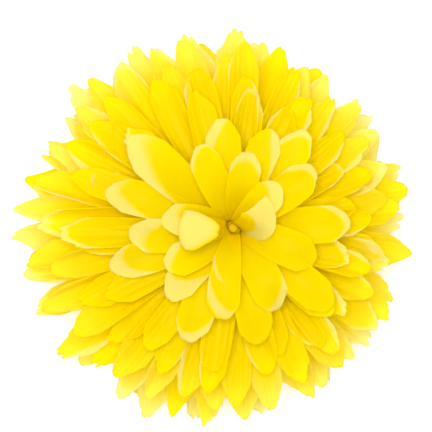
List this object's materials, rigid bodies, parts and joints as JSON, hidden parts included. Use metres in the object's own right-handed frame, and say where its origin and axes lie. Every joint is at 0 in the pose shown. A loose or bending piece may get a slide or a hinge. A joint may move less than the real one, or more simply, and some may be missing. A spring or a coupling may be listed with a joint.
{
  "type": "flower hair clip",
  "caption": "Many-petalled yellow fabric chrysanthemum on a felt disc, glued to a sprung toothed alligator clip that holds it in the hair.",
  "frame": {"origin": "on the table plane, under the flower's axis, with the clip lying on its back petals and facing up", "axes": "+Z is the way the flower looks. The clip lies along X, its nose at -X and its finger lever at +X."},
  "size_m": [0.11, 0.11, 0.05],
  "materials": {
    "petal_fabric": "satin",
    "yellow_plastic": "gloss",
    "clear_plastic": "gloss",
    "green_plastic": "matte",
    "glue": "gloss",
    "felt": "matte",
    "steel": "plated",
    "pin_steel": "satin",
    "spring_steel": "satin"
  },
  "bodies": {
    "flower": {"calyx_cup": "green_plastic", "clip_fixed_jaw": "steel", "clip_glue": "glue", "clip_pivot_pin": "pin_steel", "clip_spring": "spring_steel", "felt_disc": "felt", "flower_glue": "glue", "peg_lock_ring": "clear_plastic", "petal_layer_01": "petal_fabric", "petal_layer_02": "petal_fabric", "petal_layer_03": "petal_fabric", "petal_layer_04": "petal_fabric", "petal_layer_05": "petal_fabric", "petal_layer_06": "petal_fabric", "petal_layer_07": "petal_fabric", "petal_layer_08": "petal_fabric", "petal_layer_09": "petal_fabric", "petal_layer_10": "petal_fabric", "spacer_ring_01": "clear_plastic", "spacer_ring_02": "clear_plastic", "spacer_ring_03": "clear_plastic", "spacer_ring_04": "clear_plastic", "spacer_ring_05": "clear_plastic", "spacer_ring_06": "clear_plastic", "spacer_ring_07": "clear_plastic", "spacer_ring_08": "clear_plastic", "spacer_ring_09": "clear_plastic", "stem_peg": "yellow_plastic"},
    "jaw": {"clip_moving_jaw": "steel"}
  },
  "joints": [
    {"name": "jaw_hinge", "type": "hinge", "parent": "flower", "child": "jaw", "pos_m": [0.007, 0, 0.0092], "axis": [0, -1, 0], "range_deg": [0, 25], "stiffness_Nm_per_rad": 0.03, "springref_deg": -57.3, "deforming": ["clip_spring"]}
  ]
}
